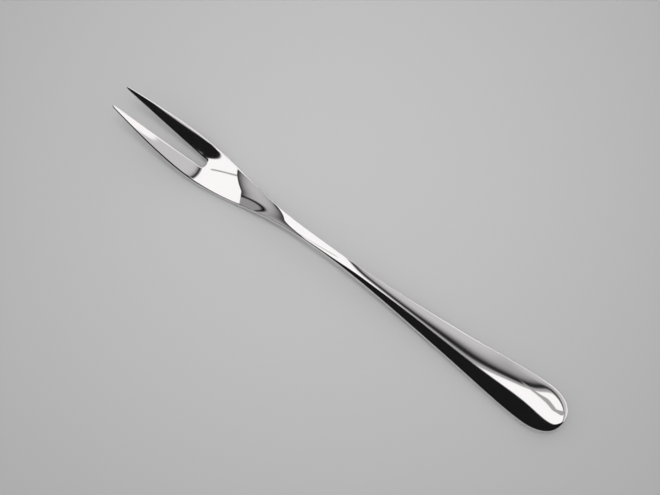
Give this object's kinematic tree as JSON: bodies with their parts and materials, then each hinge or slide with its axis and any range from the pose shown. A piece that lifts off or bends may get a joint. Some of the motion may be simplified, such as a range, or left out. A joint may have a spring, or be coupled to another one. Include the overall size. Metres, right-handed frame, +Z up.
{
  "type": "meat fork",
  "caption": "Slim polished steel serving fork with a domed teardrop handle, a narrow arched neck and a dished head with long tapered tines, for lifting sliced meat.",
  "frame": {"origin": "on the table under the middle of the fork's length, centred across its width", "axes": "+X along the fork towards the tine tips, +Z up from the table it lies on"},
  "size_m": [0.21, 0.0186, 0.0178],
  "materials": {
    "polished_steel": "mirror-polished stainless steel"
  },
  "bodies": {
    "root": {"fork": "polished_steel"}
  },
  "joints": []
}
